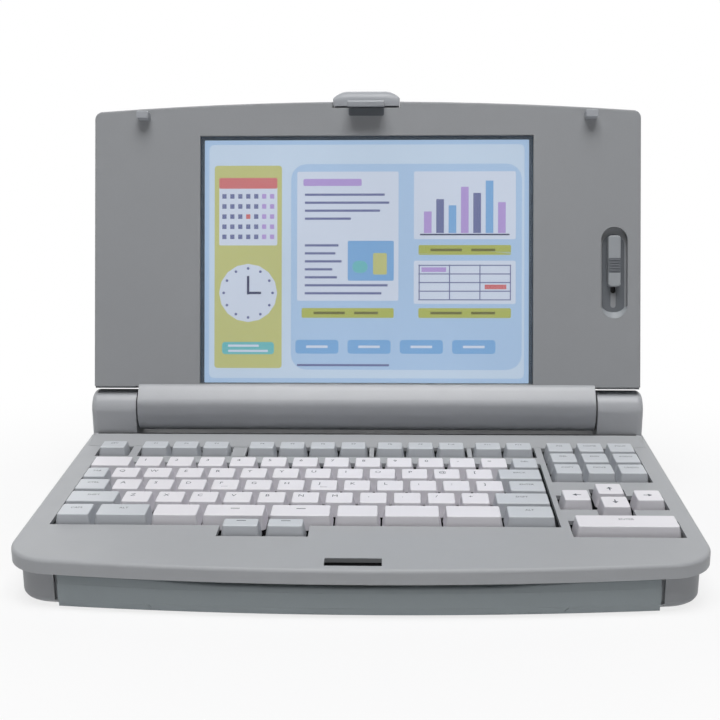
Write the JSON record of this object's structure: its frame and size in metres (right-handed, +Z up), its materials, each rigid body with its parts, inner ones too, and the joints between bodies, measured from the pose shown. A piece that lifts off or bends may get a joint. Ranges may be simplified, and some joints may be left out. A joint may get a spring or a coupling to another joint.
{
  "type": "portable word processor",
  "caption": "Portable word processor: wedge case with keyboard, carry handle, disk slot and rear printer, and a lid with a flat screen on a barrel hinge.",
  "frame": {"origin": "on the table under the middle of the case", "axes": "+X to the user's right along the hinge line, +Y to the back, +Z up; the lid stands open"},
  "size_m": [0.364, 0.297, 0.2675],
  "materials": {
    "deck_plastic": "fine moulded texture, light grey",
    "case_plastic": "fine moulded texture, grey",
    "lid_plastic": "fine moulded texture, darker warm grey",
    "handle_plastic": "fine moulded texture, blue grey",
    "key_white": "satin, near white",
    "key_grey": "satin, light grey",
    "latch_plastic": "satin, pale grey",
    "dark_plastic": "satin, near black",
    "pale_plastic": "satin, off white",
    "rubber": "matte black",
    "steel": "zinc plated sheet",
    "board": "green circuit board",
    "screen": "smooth lit screen",
    "lamp": "white lamp tube"
  },
  "bodies": {
    "base": {"lower_case": "case_plastic", "upper_case": "deck_plastic", "rubber_feet": "rubber", "case_screws": "steel", "main_board": "board", "keyboard_plate": "steel", "key_switch_board": "board", "power_supply": "steel", "floppy_drive": "steel", "power_inlet": "dark_plastic", "hinge_bracket_left": "steel", "hinge_bracket_right": "steel", "hinge_cap_left": "lid_plastic", "hinge_cap_right": "lid_plastic", "printer_frame": "steel", "guide_rod": "steel", "feed_motor": "steel"},
    "lid": {"lid_back_shell": "lid_plastic", "lid_bezel": "lid_plastic", "hinge_barrel": "lid_plastic", "hinge_leaf_left": "steel", "hinge_leaf_right": "steel", "lcd_panel": "steel", "screen_glass": "screen", "backlight_lamp": "lamp", "inverter_board": "board", "lid_bumpers": "latch_plastic"},
    "latch": {"lid_latch": "latch_plastic"},
    "brightness_knob": {"brightness_slider": "lid_plastic"},
    "handle": {"carry_handle": "handle_plastic"},
    "cover": {"printer_cover": "deck_plastic"},
    "carriage": {"print_carriage": "dark_plastic", "thermal_head": "steel", "ribbon_cassette": "dark_plastic"},
    "platen": {"platen_roller": "rubber", "platen_gear": "pale_plastic"},
    "eject": {"floppy_eject_button": "dark_plastic"},
    "switch": {"power_switch": "dark_plastic"},
    "escape_key_body": {"escape_key": "key_grey"},
    "function_keys_body": {"function_keys": "key_grey"},
    "number_row_keys_body": {"number_row_keys": "key_white"},
    "upper_letter_keys_body": {"upper_letter_keys": "key_white"},
    "home_row_keys_body": {"home_row_keys": "key_white"},
    "lower_letter_keys_body": {"lower_letter_keys": "key_white"},
    "bottom_row_keys_body": {"bottom_row_keys": "key_white"},
    "thumb_shift_left_body": {"thumb_shift_left": "key_white"},
    "thumb_shift_right_body": {"thumb_shift_right": "key_white"},
    "front_key_left_body": {"front_key_left": "key_grey"},
    "front_key_right_body": {"front_key_right": "key_grey"},
    "cluster_keys_body": {"cluster_keys": "key_grey"},
    "arrow_key_left_body": {"arrow_key_left": "key_white"},
    "arrow_key_up_body": {"arrow_key_up": "key_white"},
    "arrow_key_down_body": {"arrow_key_down": "key_white"},
    "arrow_key_right_body": {"arrow_key_right": "key_white"},
    "execute_key_body": {"execute_key": "key_white"}
  },
  "joints": [
    {"name": "lid_hinge", "type": "hinge", "parent": "base", "child": "lid", "pos_m": [0, 0.05617, 0.06299], "axis": [1, 0, 0], "range_deg": [-20, 105.4]},
    {"name": "latch_pivot", "type": "hinge", "parent": "lid", "child": "latch", "pos_m": [0, 0.09548, 0.25505], "axis": [1, 0, 0], "range_deg": [-6, 0], "stiffness_Nm_per_rad": 0.3, "springref_deg": 8.59},
    {"name": "brightness_slide", "type": "slide", "parent": "lid", "child": "brightness_knob", "axis": [0, -0.1805, -0.9836], "range_m": [0, 0.012]},
    {"name": "handle_slide", "type": "slide", "parent": "base", "child": "handle", "axis": [0, -1, 0], "range_m": [0, 0.038]},
    {"name": "cover_hinge", "type": "hinge", "parent": "base", "child": "cover", "pos_m": [0, 0.141, 0.049], "axis": [-1, 0, 0], "range_deg": [0, 95]},
    {"name": "carriage_slide", "type": "slide", "parent": "base", "child": "carriage", "axis": [1, 0, 0], "range_m": [0, 0.196]},
    {"name": "platen_turn", "type": "hinge", "parent": "base", "child": "platen", "pos_m": [0, 0.118, 0.03], "axis": [1, 0, 0], "continuous": true},
    {"name": "eject_press", "type": "slide", "parent": "base", "child": "eject", "axis": [-1, 0, 0], "range_m": [0, 0.0035], "stiffness_N_per_m": 300, "springref_m": -0.002},
    {"name": "power_slide", "type": "slide", "parent": "base", "child": "switch", "axis": [0, 1, 0], "range_m": [0, 0.006]},
    {"name": "escape_key_press", "type": "slide", "parent": "base", "child": "escape_key_body", "axis": [0, 0.0872, -0.9962], "range_m": [0, 0.003], "stiffness_N_per_m": 210, "springref_m": -0.002},
    {"name": "function_keys_press", "type": "slide", "parent": "base", "child": "function_keys_body", "axis": [0, 0.0872, -0.9962], "range_m": [0, 0.003], "stiffness_N_per_m": 870, "springref_m": -0.002},
    {"name": "number_row_keys_press", "type": "slide", "parent": "base", "child": "number_row_keys_body", "axis": [0, 0.0872, -0.9962], "range_m": [0, 0.003], "stiffness_N_per_m": 990, "springref_m": -0.002},
    {"name": "upper_letter_keys_press", "type": "slide", "parent": "base", "child": "upper_letter_keys_body", "axis": [0, 0.0872, -0.9962], "range_m": [0, 0.003], "stiffness_N_per_m": 990, "springref_m": -0.002},
    {"name": "home_row_keys_press", "type": "slide", "parent": "base", "child": "home_row_keys_body", "axis": [0, 0.0872, -0.9962], "range_m": [0, 0.003], "stiffness_N_per_m": 990, "springref_m": -0.002},
    {"name": "lower_letter_keys_press", "type": "slide", "parent": "base", "child": "lower_letter_keys_body", "axis": [0, 0.0872, -0.9962], "range_m": [0, 0.003], "stiffness_N_per_m": 930, "springref_m": -0.002},
    {"name": "bottom_row_keys_press", "type": "slide", "parent": "base", "child": "bottom_row_keys_body", "axis": [0, 0.0872, -0.9962], "range_m": [0, 0.003], "stiffness_N_per_m": 570, "springref_m": -0.002},
    {"name": "thumb_shift_left_press", "type": "slide", "parent": "base", "child": "thumb_shift_left_body", "axis": [0, 0.0872, -0.9962], "range_m": [0, 0.003], "stiffness_N_per_m": 210, "springref_m": -0.002},
    {"name": "thumb_shift_right_press", "type": "slide", "parent": "base", "child": "thumb_shift_right_body", "axis": [0, 0.0872, -0.9962], "range_m": [0, 0.003], "stiffness_N_per_m": 210, "springref_m": -0.002},
    {"name": "front_key_left_press", "type": "slide", "parent": "base", "child": "front_key_left_body", "axis": [0, 0.0872, -0.9962], "range_m": [0, 0.003], "stiffness_N_per_m": 210, "springref_m": -0.002},
    {"name": "front_key_right_press", "type": "slide", "parent": "base", "child": "front_key_right_body", "axis": [0, 0.0872, -0.9962], "range_m": [0, 0.003], "stiffness_N_per_m": 210, "springref_m": -0.002},
    {"name": "cluster_keys_press", "type": "slide", "parent": "base", "child": "cluster_keys_body", "axis": [0, 0.0872, -0.9962], "range_m": [0, 0.003], "stiffness_N_per_m": 690, "springref_m": -0.002},
    {"name": "arrow_key_left_press", "type": "slide", "parent": "base", "child": "arrow_key_left_body", "axis": [0, 0.0872, -0.9962], "range_m": [0, 0.003], "stiffness_N_per_m": 210, "springref_m": -0.002},
    {"name": "arrow_key_up_press", "type": "slide", "parent": "base", "child": "arrow_key_up_body", "axis": [0, 0.0872, -0.9962], "range_m": [0, 0.003], "stiffness_N_per_m": 210, "springref_m": -0.002},
    {"name": "arrow_key_down_press", "type": "slide", "parent": "base", "child": "arrow_key_down_body", "axis": [0, 0.0872, -0.9962], "range_m": [0, 0.003], "stiffness_N_per_m": 210, "springref_m": -0.002},
    {"name": "arrow_key_right_press", "type": "slide", "parent": "base", "child": "arrow_key_right_body", "axis": [0, 0.0872, -0.9962], "range_m": [0, 0.003], "stiffness_N_per_m": 210, "springref_m": -0.002},
    {"name": "execute_key_press", "type": "slide", "parent": "base", "child": "execute_key_body", "axis": [0, 0.0872, -0.9962], "range_m": [0, 0.003], "stiffness_N_per_m": 210, "springref_m": -0.002}
  ]
}
